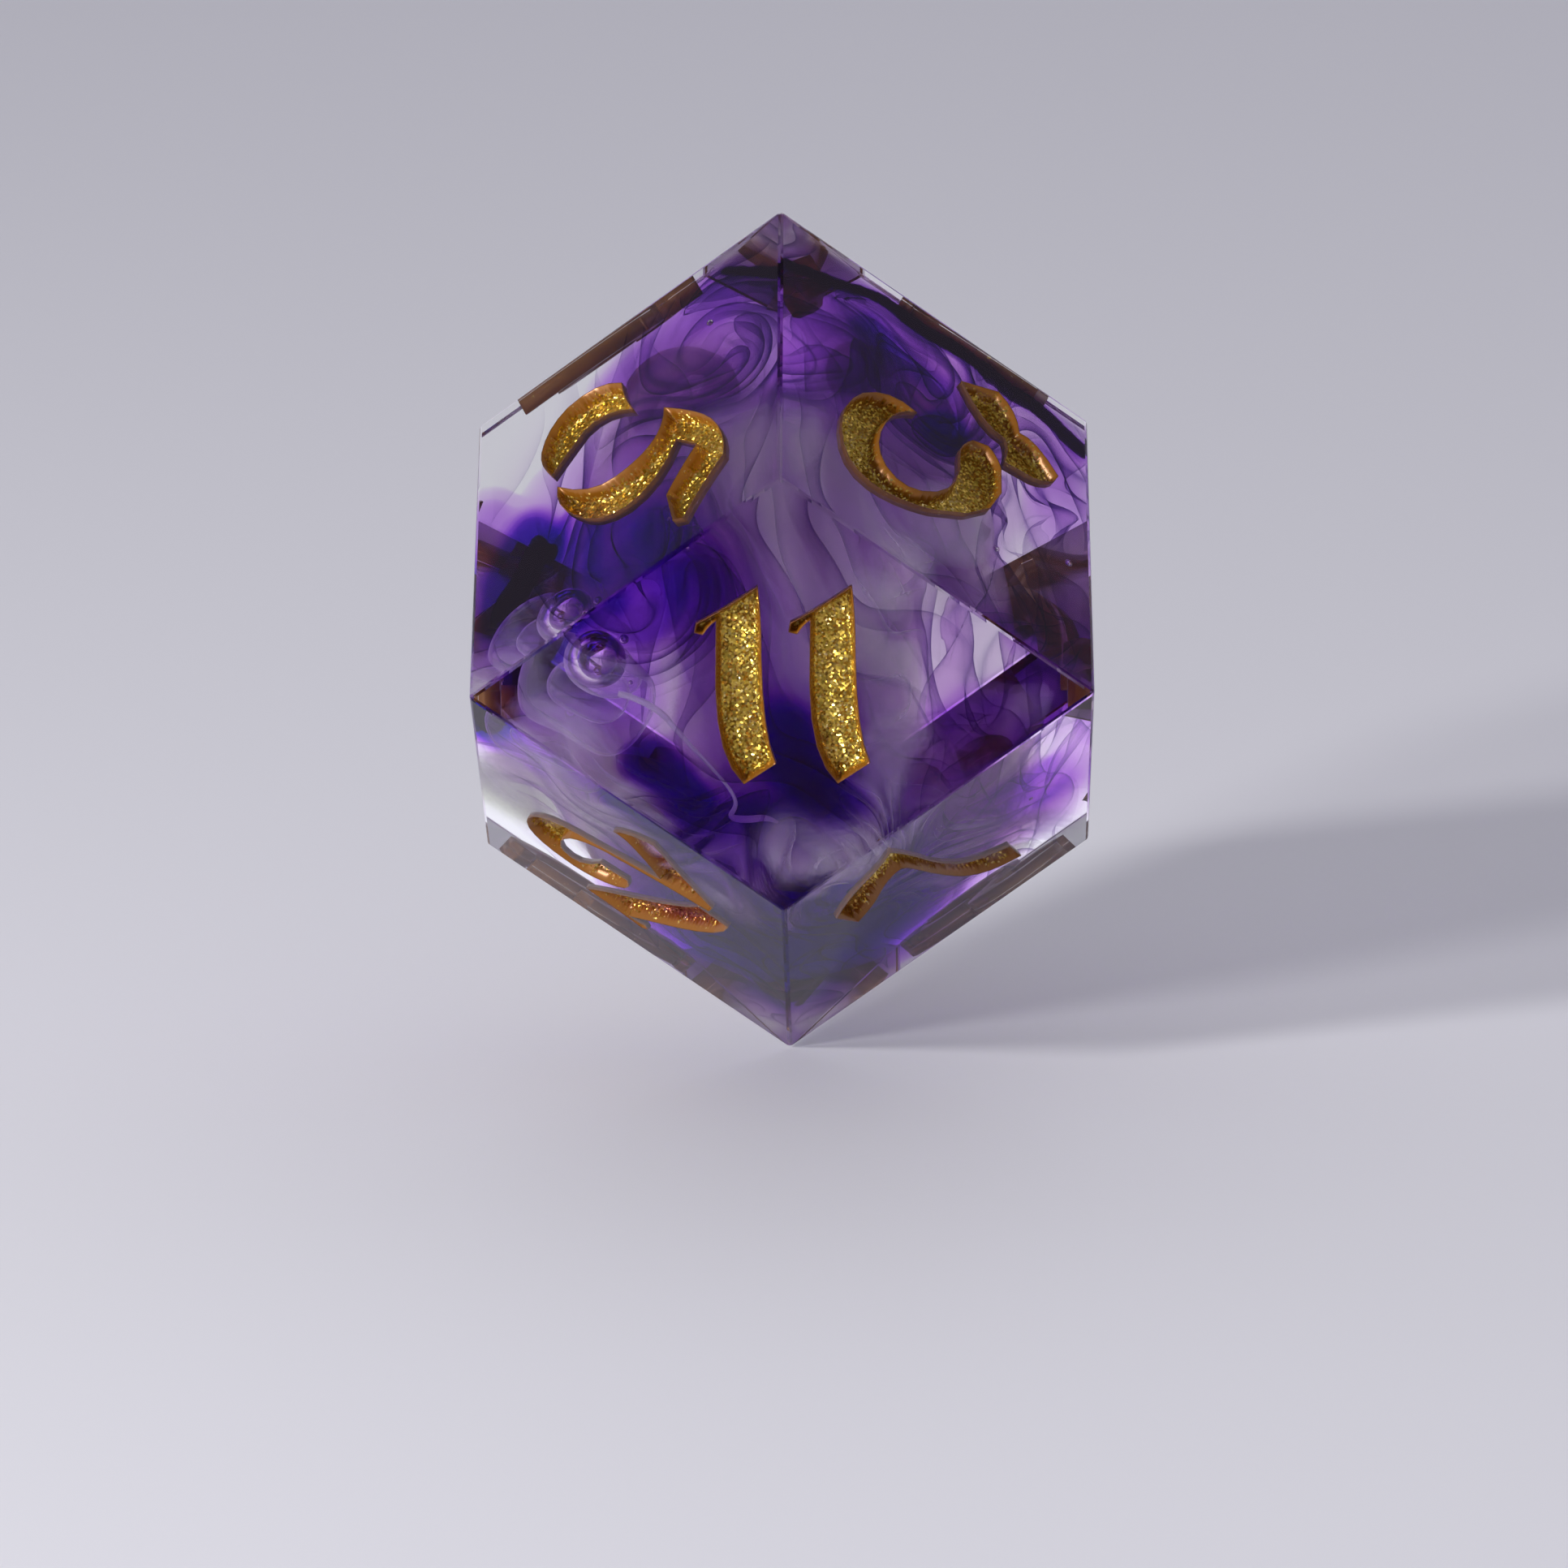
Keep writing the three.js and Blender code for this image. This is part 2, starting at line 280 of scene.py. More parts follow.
def paint_inlay(name, matrix, outline):
    """A closed mesh that fills the groove: the painted hollow on top, the groove's form below."""
    edge = refined(offset(outline, PAINT_GAP), PAINT_GRID * 1.2)
    low, high = edge.min(0), edge.max(0)
    xs, ys = np.meshgrid(np.arange(low[0], high[0], PAINT_GRID), np.arange(low[1], high[1], PAINT_GRID))
    xs[1::2] += PAINT_GRID / 2
    grid = np.stack([xs.ravel(), ys.ravel()], axis=1)
    grid = grid[is_inside(grid, edge)]
    grid = grid[distance_inside(grid, edge) > PAINT_GRID * 0.6]
    points = np.concatenate([edge, grid])
    count = len(edge)
    sides = [(i, (i + 1) % count) for i in range(count)]
    scaled = [Vector(p) for p in points / MM]
    coords, _, faces, origins, _, _ = delaunay_2d_cdt(scaled, sides, [list(range(count))], 1, 1e-5)
    flat = np.array([tuple(c) for c in coords]) * MM
    distance = distance_inside(flat, edge)
    ring = offset(edge, PAINT_BITE)
    mesh = bmesh.new()
    on_floor = mesh.verts.layers.float.new("floor")
    top = [mesh.verts.new(matrix @ Vector((x, y, -d))) for (x, y), d in zip(flat, paint_depth(distance))]
    for vert, reach in zip(top, distance / WALL_REACH):
        vert[on_floor] = min(reach, 1.5)
    for face in faces:
        mesh.faces.new([top[i] for i in face])
    # the sides and back carry no floor value, so they take the dark brown that is partly painted shade
    rim = [mesh.verts.new(matrix @ Vector((x, y, -RIM_DEPTH))) for x, y in ring]
    base = [mesh.verts.new(matrix @ Vector((x, y, -GROOVE_DEPTH - PAINT_BITE))) for x, y in ring]
    where = {origin: i for i, group in enumerate(origins) for origin in group if origin < count}
    for i in range(count):
        j = (i + 1) % count
        mesh.faces.new([top[where[i]], rim[i], rim[j], top[where[j]]])
        mesh.faces.new([rim[i], base[i], base[j], rim[j]])
    bmesh.ops.triangle_fill(mesh, edges=[e for e in mesh.edges if e.is_boundary], use_beauty=True)
    bmesh.ops.recalc_face_normals(mesh, faces=mesh.faces)
    data = bpy.data.meshes.new(name)
    mesh.to_mesh(data)
    mesh.free()
    shade_smooth(data)
    return add_object(name, data)


FLAKE_SIZE = 0.07 * MM
FLAKE_TILT = 1.3                    # how far the flakes lean away from the paint's own surface
PATCH_SIZE = 0.7 * MM               # of the thicker and thinner patches in the paint
FLAKE_LUCK = 0.7                    # how far chance moves the flakes' limit up the wall
PATCH_LUCK = 0.9                    # how far a patch moves it
BARE = 0.42                         # height on the wall where the flakes stop
COVERED = 0.56                      # and where they cover everything
AMBER_AND_SHADE = (0.25, 0.088, 0.004, 1)     # the paint's clear brown binder where few flakes settled, darkened so that it is partly painted shade on the groove walls and on the paint's back
FLAKE_COLOURS = (                   # from dull to bright, with how many flakes are duller
    (0.0, (0.20, 0.115, 0.01, 1)),
    (0.35, (0.54, 0.355, 0.052, 1)),
    (0.75, (0.76, 0.54, 0.12, 1)),
    (0.95, (1.0, 0.86, 0.42, 1)),
)


def gold_material():
    """Metal flakes, each tilted its own way, thick on the floor of a groove and thin on its walls, where
    the dark brown between them is partly painted shade.
    """
    material, tree = new_material("gold_glitter_paint")
    place = tree.nodes.new("ShaderNodeTexCoord").outputs["Object"]
    flakes = add_node(tree, "ShaderNodeTexVoronoi", Scale=1 / FLAKE_SIZE)
    link(tree, place, flakes.inputs["Vector"])
    chance = tree.nodes.new("ShaderNodeSeparateXYZ")
    link(tree, flakes.outputs["Color"], chance.inputs[0])
    patches = add_node(tree, "ShaderNodeTexNoise", Scale=1 / PATCH_SIZE, Detail=3)
    link(tree, place, patches.inputs["Vector"])
    reach = add_node(tree, "ShaderNodeAttribute").outputs["Fac"]
    reach.node.attribute_name = "floor"

    # a flake lies here if the spot is far enough from the edge, with some luck either way
    luck = maths(tree, "MULTIPLY", maths(tree, "SUBTRACT", chance.outputs[0], 0.5), FLAKE_LUCK)
    patchy = maths(tree, "SUBTRACT", patches.outputs["Fac"], 0.5)
    uneven = maths(tree, "MULTIPLY", patchy, PATCH_LUCK)
    height = maths(tree, "ADD", maths(tree, "ADD", reach, luck), uneven)
    flaky = colour_ramp(tree, height, ((BARE, (0, 0, 0, 1)), (COVERED, (1, 1, 1, 1))))

    tone = maths(tree, "ADD", maths(tree, "MULTIPLY", chance.outputs[1], 0.8),
                 maths(tree, "MULTIPLY", patches.outputs["Fac"], 0.3))
    # where flakes are few the colour is the binder's brown, partly painted shade
    colour = mixed(tree, "RGBA", flaky, AMBER_AND_SHADE, colour_ramp(tree, tone, FLAKE_COLOURS))

    tilt = tree.nodes.new("ShaderNodeVectorMath")
    tilt.operation = "SUBTRACT"
    link(tree, flakes.outputs["Color"], tilt.inputs[0])
    tilt.inputs[1].default_value = (0.5, 0.5, 0.5)
    strength = tree.nodes.new("ShaderNodeVectorMath")
    strength.operation = "SCALE"
    link(tree, tilt.outputs[0], strength.inputs[0])
    link(tree, maths(tree, "MULTIPLY", flaky, FLAKE_TILT), strength.inputs["Scale"])
    normal = tree.nodes.new("ShaderNodeVectorMath")
    normal.operation = "ADD"
    link(tree, tree.nodes.new("ShaderNodeNewGeometry").outputs["Normal"], normal.inputs[0])
    link(tree, strength.outputs[0], normal.inputs[1])
    unit = tree.nodes.new("ShaderNodeVectorMath")
    unit.operation = "NORMALIZE"
    link(tree, normal.outputs[0], unit.inputs[0])

    shader = add_node(tree, "ShaderNodeBsdfPrincipled", Roughness=0.3)
    link(tree, colour, shader.inputs["Base Color"])
    link(tree, mixed(tree, "FLOAT", flaky, 0.25, 1.0), shader.inputs["Metallic"])
    link(tree, unit.outputs[0], shader.inputs["Normal"])
    show(tree, shader)
    return material


# ---- clear resin ----

EDGE_WEAR = 0.1 * MM           # width of the polished flat along every edge


def rhombic_body(name):
    """The polyhedron with its edges just broken by polishing."""
    mesh = bmesh.new()
    for matrix in FACES:
        for corner in ((LONG_HALF, 0, 0), (0, SHORT_HALF, 0), (-LONG_HALF, 0, 0), (0, -SHORT_HALF, 0)):
            mesh.verts.new(matrix @ Vector(corner))
        mesh.faces.new(mesh.verts[-4:])
    bmesh.ops.remove_doubles(mesh, verts=mesh.verts, dist=0.01 * MM)
    bmesh.ops.bevel(mesh, geom=mesh.edges, offset=EDGE_WEAR, segments=2, profile=0.5, affect="EDGES")
    bmesh.ops.recalc_face_normals(mesh, faces=mesh.faces)
    data = bpy.data.meshes.new(name)
    mesh.to_mesh(data)
    mesh.free()
    return add_object(name, data)


BUBBLES = (                    # centre and radius of each air bubble, in millimetres
    ((-6.0, -5.4, 0.6), 0.95),
    ((-5.1, -6.4, 1.4), 0.16),
    ((-4.9, -6.6, 0.0), 0.07),
    ((-6.9, -4.9, -1.2), 0.2),
    ((6.0, -3.4, 2.3), 0.12),
    ((8.4, -2.2, 1.6), 0.13),
    ((-2.2, -1.9, 10.6), 0.12),
    ((-3.0, -6.2, 4.3), 0.08),
    ((3.6, -6.4, -3.2), 0.07),
    ((7.5, -4.0, -3.9), 0.08),
)


def add_bubbles(body):
    """Air bubbles: each is a round cavity whose surface faces its own middle."""
    mesh = bmesh.new()
    mesh.from_mesh(body.data)
    for centre, radius in BUBBLES:
        place = Matrix.Translation(Vector(centre) * MM)
        steps = 4 if radius > 0.5 else 3
        made = bmesh.ops.create_icosphere(mesh, subdivisions=steps, radius=radius * MM, matrix=place)
        middle = Vector(centre) * MM
        for vert in made["verts"]:
            out = (vert.co - middle) / (radius * MM)
            ripple = math.sin(3 * out.x + 2 * out.z) * math.cos(4 * out.y + out.x)
            vert.co = middle + out * radius * MM * (1 + 0.025 * ripple)
        sides = {face for vert in made["verts"] for face in vert.link_faces}
        bmesh.ops.reverse_faces(mesh, faces=list(sides))
        for face in sides:
            face.smooth = True
    mesh.to_mesh(body.data)
    mesh.free()


def groove_cutter(matrix, outline, mesh):
    """Adds a prism to the mesh, as wide as the groove and as deep."""
    edge = offset(outline, PAINT_GAP)
    layers = []
    for height in (-GROOVE_DEPTH, CUTTER_RISE):
        layers.append([mesh.verts.new(matrix @ Vector((x, y, height))) for x, y in edge])
    count = len(edge)
    mesh.faces.new(list(reversed(layers[0])))
    mesh.faces.new(layers[1])
    for i in range(count):
        j = (i + 1) % count
        mesh.faces.new([layers[0][i], layers[0][j], layers[1][j], layers[1][i]])


def cut(body, mesh):
    """Takes everything in the mesh away from the body."""
    data = bpy.data.meshes.new("cutter")
    mesh.to_mesh(data)
    mesh.free()
    cutter = add_object("cutter", data)
    modifier = body.modifiers.new("grooves", "BOOLEAN")
    modifier.operation = "DIFFERENCE"
    modifier.solver = "EXACT"
    modifier.object = cutter
    bpy.context.view_layer.update()
    depsgraph = bpy.context.evaluated_depsgraph_get()
    final = bpy.data.meshes.new_from_object(body.evaluated_get(depsgraph))
    body.modifiers.clear()
    body.data = final
    bpy.data.objects.remove(cutter)


PAINTED_REFLECTION_TINT = (0.35, 0.15, 0.45, 1)    # painted reflection: tints and dims every reflection off the resin to a dark violet, standing in for dark surroundings that are not in the scene


def resin_material():
    material, tree = new_material("clear_resin")
    shader = add_node(tree, "ShaderNodeBsdfPrincipled", Roughness=0.0, IOR=1.5)
    shader.inputs["Transmission Weight"].default_value = 1
    shader.inputs["Base Color"].default_value = (1, 1, 1, 1)
    # painted reflection: the specular tint darkens and colours the resin's reflections
    shader.inputs["Specular Tint"].default_value = PAINTED_REFLECTION_TINT
    show(tree, shader)
    return material


# ---- ink and milk, cast into the resin ----
# Both are a few soft masses, bent by a made-up slow flow. Inside them a stronger flow folds
# evenly spaced sheets over and over, as a drop of ink does when it sinks in thick resin.
# Lengths in this section are in millimetres until a mesh is made.

GRID_STEP = 0.17
SKIN = 0.15                    # clear resin that always stays between the ink and a face
SKIN_STEP = 0.012              # each shell stays this much deeper than the one round it
WALL_SLOPE = 3                 # how fast a field may rise below the skin, per millimetre


def sample_grid():
    """Points of a regular grid over the die, and how deep each lies below the nearest face."""
    high = np.array([HALF_WIDTH, HALF_WIDTH, CORNER_HEIGHT]) / MM + GRID_STEP
    counts = np.ceil(2 * high / GRID_STEP).astype(int) + 1
    axes = [np.arange(n) * GRID_STEP - h for n, h in zip(counts, high)]
    grid = np.stack(np.meshgrid(*axes, indexing="ij"), axis=-1).astype(np.float32)
    normals = np.array([tuple(face.col[2].to_3d()) for face in FACES], np.float32)
    depth = np.min([HALF_WIDTH / MM - grid @ normal for normal in normals], axis=0)
    return grid, depth, high


def flow(seed, length, reach, count, upright):
    """Waves of a flow with no sources; upright below 1 draws its swirls out along Z."""
    random = np.random.default_rng(seed)
    waves = []
    for _ in range(count):
        wave = random.normal(size=3) * (1, 1, upright)
        wave *= 2 * math.pi / length * random.uniform(0.7, 1.3) / np.linalg.norm(wave)
        push = np.cross(wave, random.normal(size=3))
        push *= reach / math.sqrt(count) / np.linalg.norm(push)
        waves.append((wave.astype(np.float32), push.astype(np.float32), random.uniform(0, 2 * math.pi)))
    return waves


def carried(points, waves, steps):
    """Where each point was before the flow carried it here."""
    for _ in range(steps):
        shift = np.zeros_like(points)
        for wave, push, phase in waves:
            shift += np.cos(points @ wave + np.float32(phase))[:, None] * push
        points = points - shift / steps
    return points


def rolled(points, centre, axis, radius, turns):
    """Points turned about an axis, most at the centre: the flow's round rolls."""
    centre, axis = np.array(centre, np.float32), np.array(axis, np.float32)
    axis /= np.linalg.norm(axis)
    arm = points - centre
    away = np.linalg.norm(arm - (arm @ axis)[:, None] * axis, axis=1)
    angle = 2 * math.pi * turns * np.exp(-(away / radius) ** 2 - (arm @ axis / (2 * radius)) ** 2)
    sine, cosine = np.sin(angle)[:, None], np.cos(angle)[:, None]
    along = (arm @ axis)[:, None] * axis
    return centre + along + (arm - along) * cosine + np.cross(axis, arm) * sine


def fade(distance, softness):
    """1 well inside a shape, 0.5 at distance 1 and 0 well outside."""
    return 1 / (1 + np.exp(np.clip((distance - 1) * 4 / softness, -30, 30)))


def blob(points, centre, radii, softness=1.0):
    scaled = (points - np.array(centre, np.float32)) / np.array(radii, np.float32)
    return fade(np.sqrt((scaled ** 2).sum(1)), softness)


def trail(points, route, radius, softness=1.0, stretch=(1, 1, 1)):
    """A soft tube along a few points; stretch above 1 makes it longer along that axis."""
    scale = 1 / np.array(stretch, np.float32)
    points = points * scale
    nearest = np.full(len(points), 1e9, np.float32)
    for start, end in zip(route, route[1:]):
        start, end = np.array(start, np.float32) * scale, np.array(end, np.float32) * scale
        along = end - start
        t = np.clip(((points - start) @ along) / (along @ along), 0, 1)
        nearest = np.minimum(nearest, np.linalg.norm(points - start - t[:, None] * along, axis=1))
    return fade(nearest / radius, softness)


def folds(points, across, spacing, tail=2.0, phase=0.0):
    """Layers, spacing apart, that thicken slowly and end at a sharp edge."""
    across = np.array(across, np.float32)
    across /= np.linalg.norm(across)
    part = (points @ across / spacing + phase) % 1
    rise = 0.88
    return np.where(part < rise, (part / rise) ** tail, (1 - part) / (1 - rise))


DRIFT_STEPS = 3
FOLDING_STEPS = 7
RIPPLE_STEPS = 4
DRIFT = flow(23, 4.0, 0.3, 12, 0.8)
FOLDING = flow(11, 7.5, 2.8, 10, 0.5)
RIPPLE = flow(37, 2.8, 0.7, 12, 0.6)
ROLLS = (                      # centre, axis, radius and turns of each round roll
    ((-4.2, -5.0, 3.0), (0.2, 1, 0.1), 2.6, 0.9),
    ((1.0, -6.0, -5.6), (-0.1, 1, 0.2), 1.8, -0.9),
    ((-1.0, 1.0, 8.0), (0.3, 1, -0.4), 2.2, 0.8),
    ((3.8, 0.0, 7.0), (-0.3, 1, -0.4), 1.8, -0.8),
)


def flowed(points):
    """The same points before the drift, before the rolls, before the folding and the ripple."""
    here = carried(points, DRIFT, DRIFT_STEPS)
    bent = here
    for roll in ROLLS:
        bent = rolled(bent, *roll)
    folded = carried(bent, FOLDING, FOLDING_STEPS)
    return here, bent, folded, carried(folded, RIPPLE, RIPPLE_STEPS)


# the dark sheet that hangs under the upper right edge, from the top to the side corner
DARK_EDGE = [
    (-1.0, 1.5, 11.0), (0.4, 1.5, 10.6), (2.3, 1.5, 10.0),
    (4.4, 1.5, 9.1), (6.5, 1.5, 7.6), (8.3, 1.5, 5.8), (9.2, 1.5, 5.0),
]


def dye_at(here, bent, folded, fine):
    """Strength of the violet ink: a pale middle, then the dark features from the top down."""
    dye = 0.38 * trail(here, [(0.3, 1, 6), (0.6, 0, 3), (0, -1, -7)], 4.4, 0.8)
    front = trail(here, [(0.4, -6, 4), (0.2, -6, -4)], 3.6, 0.6, (1, 1.2, 1))
    dye += 0.3 * front * folds(folded, (1, 0.5, 0.4), 3.4, 3)

    dye += 45.0 * trail(0.9 * here + 0.1 * fine, DARK_EDGE, 0.28, 0.3, (1, 1.3, 1))
    dye += trail(here, DARK_EDGE, 1.3, 0.9, (1, 1.4, 1)) * folds(fine, (1, 0.2, 0.6), 2.4, 3)
    dye += 5.0 * trail(here, [(2.0, 1.0, 9.0), (3.2, 0.4, 8.2), (4.4, -0.2, 7.6)], 0.6, 0.7)
    left_veils = [(-0.9, 1.5, 10.2), (-1.6, 1.0, 7.8), (-1.6, 0, 5.4)]
    dye += 0.6 * trail(here, left_veils, 1.6, 0.7) * folds(folded, (1, 0.2, 0.2), 2.6, 3)
    left_edge = [(-1.3, 1.5, 10.0), (-3.3, 1.5, 8.4), (-4.6, 1.0, 7.0)]
    dye += 1.2 * trail(here, left_edge, 0.8, 0.6, (1, 2, 1))
    right_veils = blob(here, (3.2, 0.5, 7.6), (3.6, 3.0, 2.0), 0.8)
    dye += 0.6 * right_veils * folds(folded, (0.7, 0.2, 1), 2.6, 3)
    dye += 7.0 * blob(here, (4.8, -1.9, 6.4), (0.95, 1.2, 0.95), 0.3)
    dye += 0.5 * blob(here, (-5.2, -2.5, 4.4), (2.6, 3.0, 2.0), 0.8)
    dye += 0.5 * blob(here, (8.2, 0.0, 2.5), (1.4, 3.0, 3.0), 0.8)

    behind = blob(here, (0.2, 6.8, -0.6), (5.0, 2.4, 5.0), 0.8)
    dye += 0.45 * behind * (0.35 + folds(folded, (1, 0.3, 0.3), 2.6, 3))

    # the rolled blob on the left and the dark streak beside it
    roll = blob(here, (-4.6, -5.4, 3.0), (3.4, 2.2, 1.8), 0.4)
    dye += 3.4 * roll * (0.35 + 1.4 * folds(bent, (0.4, 0.1, 1), 1.9, 3))
    streak = [(-7.0, -2.5, 2.4), (-7.9, -3.0, 0.8), (-8.3, -3.2, 0.4)]
    dye += 9.0 * trail(here, streak, 0.8, 0.7, (1, 2.5, 1))
    dye += 0.9 * blob(here, (-8.8, -0.8, 2.6), (1.2, 2.5, 1.2), 0.7)
    dye += 1.8 * blob(here, (-6.3, -4.4, -0.4), (2.4, 1.6, 2.4), 0.7)

    # deep pockets round the lower end of the numeral, and the dark foot
    dye += 6.5 * trail(here, [(-4.4, -7.0, -2.3), (-2.9, -7.2, -4.0)], 0.75, 0.4, (1, 2, 1))
    hook = [(0.2, -7.0, -1.4), (0.4, -7.0, -3.0), (1.6, -7.0, -3.9)]
    dye += 6.0 * trail(here, hook, 0.95, 0.5, (1, 2, 1))
    foot = blob(here, (-1.9, -5.8, -5.4), (2.5, 2.2, 1.2), 0.7)
    dye += 5.0 * foot * (0.4 + folds(folded, (0.5, 0.2, 1), 2.4, 3))
    low_right = blob(here, (6.6, -1.5, -2.4), (1.7, 2.5, 1.5), 0.7)
    dye += 2.5 * low_right * folds(fine, (0.5, 0.2, 1), 2.0, 2)
    dye += 0.9 * blob(here, (0.5, -1.0, -6.5), (4.5, 4.0, 3.0), 0.8)
    bottom = blob(here, (0.2, -2.0, -9.0), (4.4, 3.6, 2.6), 0.8)
    dye += 3.4 * bottom * (0.4 + folds(fine, (1, 0.2, 0.5), 2.2, 3))
    return dye


def milk_at(here, bent, folded, fine):
    """Strength of the milk: a core, a screen before the rear numeral, then wisps at the front."""
    core = trail(here, [(0.3, 1.0, 5), (0.3, 3, 0), (0, 2.6, -5)], 3.8, 0.5)
    milk = 1.2 * core * fade((here[:, 2] + 0.53 * here[:, 1]) / 5.4, 0.6)
    milk += 1.5 * blob(here, (0, 8.4, 0.3), (3.4, 1.1, 5.0), 0.5)
    haze = trail(here, [(-0.6, -4.4, 5.0), (0.9, -5.0, 1.6)], 2.0)
    milk += 1.3 * haze * (0.35 + folds(folded, (1, 0.5, 0.2), 2.4))
    milk += 0.6 * blob(here, (4.6, -4.2, 3.4), (1.7, 2.0, 1.6), 0.8)
    plume = trail(here, [(2.9, -7, 2.4), (3.6, -7, -1.5), (2.2, -7, -4.6)], 0.9, 0.8)
    milk += 2.2 * plume * folds(fine, (1, 0.3, 0), 1.6, 1)
    dome = blob(here, (-6.4, -5.2, -0.6), (2.2, 1.6, 2.2), 0.6)
    milk += 0.8 * dome * folds(fine, (0.5, 0.4, 1), 1.7, 4)
    corner = blob(here, (-8.3, -2.6, -3.6), (1.7, 2.2, 1.7), 0.8)
    milk += 1.6 * corner * (0.3 + folds(bent, (0.7, 0.3, 1), 0.9, 2))
    rim = trail(here, [(-7.6, -5.0, -1.9), (-4.8, -6.2, -4.0), (-1.8, -6.4, -6.2)], 1.2, 0.8)
    milk += 3.0 * rim * folds(fine, (0.6, 0, 1), 1.5, 2)
    curl = blob(here, (1.3, -8.4, -5.2), (1.9, 1.0, 1.0), 0.7)
    milk += 3.5 * curl * folds(bent, (0.4, 0, 1), 1.1, 3)
    wisps = blob(here, (4.5, -2.0, -5.5), (3.0, 3.0, 2.4))
    milk += 2.0 * wisps * folds(fine, (1, -0.3, 0.6), 2.2, 4, 0.5)
    return milk


def ink_fields():
    """The two fields on the grid, the grid's depths and corner, and the flow at its inner points."""
    grid, depth, corner = sample_grid()
    inside = depth > 0
    flowing = flowed(grid[inside])
    bubble = np.linalg.norm(grid[inside] - np.array(BUBBLES[0][0], np.float32), axis=1)
    outside_bubble = 1 - fade(bubble / (BUBBLES[0][1] + 0.12), 0.2)
    fields = []
    for values in (dye_at(*flowing) * outside_bubble, milk_at(*flowing) * outside_bubble):
        field = np.zeros(depth.shape, np.float32)
        field[inside] = values
        fields.append(field)
    return *fields, depth, corner, inside, flowing


def iso_surface(name, field, depth, corner, level, skin):
    """A closed mesh round everything where the field is above the level, below the skin."""
    wall = level + (depth - skin) * WALL_SLOPE
    grid = openvdb.FloatGrid(background=-1.0)
    grid.copyFromArray(np.minimum(field, wall).astype(np.float32) - np.float32(level))
    points, triangles, quads = grid.convertToPolygons(0.0, 0.02)
    points = (points * GRID_STEP - corner) * MM
    data = bpy.data.meshes.new(name)
    data.from_pydata(points.tolist(), [], triangles[:, ::-1].tolist() + quads[:, ::-1].tolist())
    data.update()
    shade_smooth(data)
    return add_object(name, data)


# ---- veils: very thin sheets of dye or milk, strongest where they are seen edge on ----

HERE, BENT, FOLDED, FINE = range(4)        # the four lists of places that flowed() returns


def along(stage, direction):
    """Measures a place, at one stage of the flow, along a direction."""
    unit = np.array(direction, np.float32) / np.float32(math.dist(direction, (0, 0, 0)))
    return lambda flowing: flowing[stage] @ unit


def around(centre, radii):
    """Measures a place by how far out it lies in an ellipsoid, with a little of the ripple."""
    centre, radii = np.array(centre, np.float32), np.array(radii, np.float32)

    def measure(flowing):
        places = 0.92 * flowing[HERE] + 0.08 * flowing[FINE]
        return np.linalg.norm((places - centre) / radii, axis=1)
    return measure


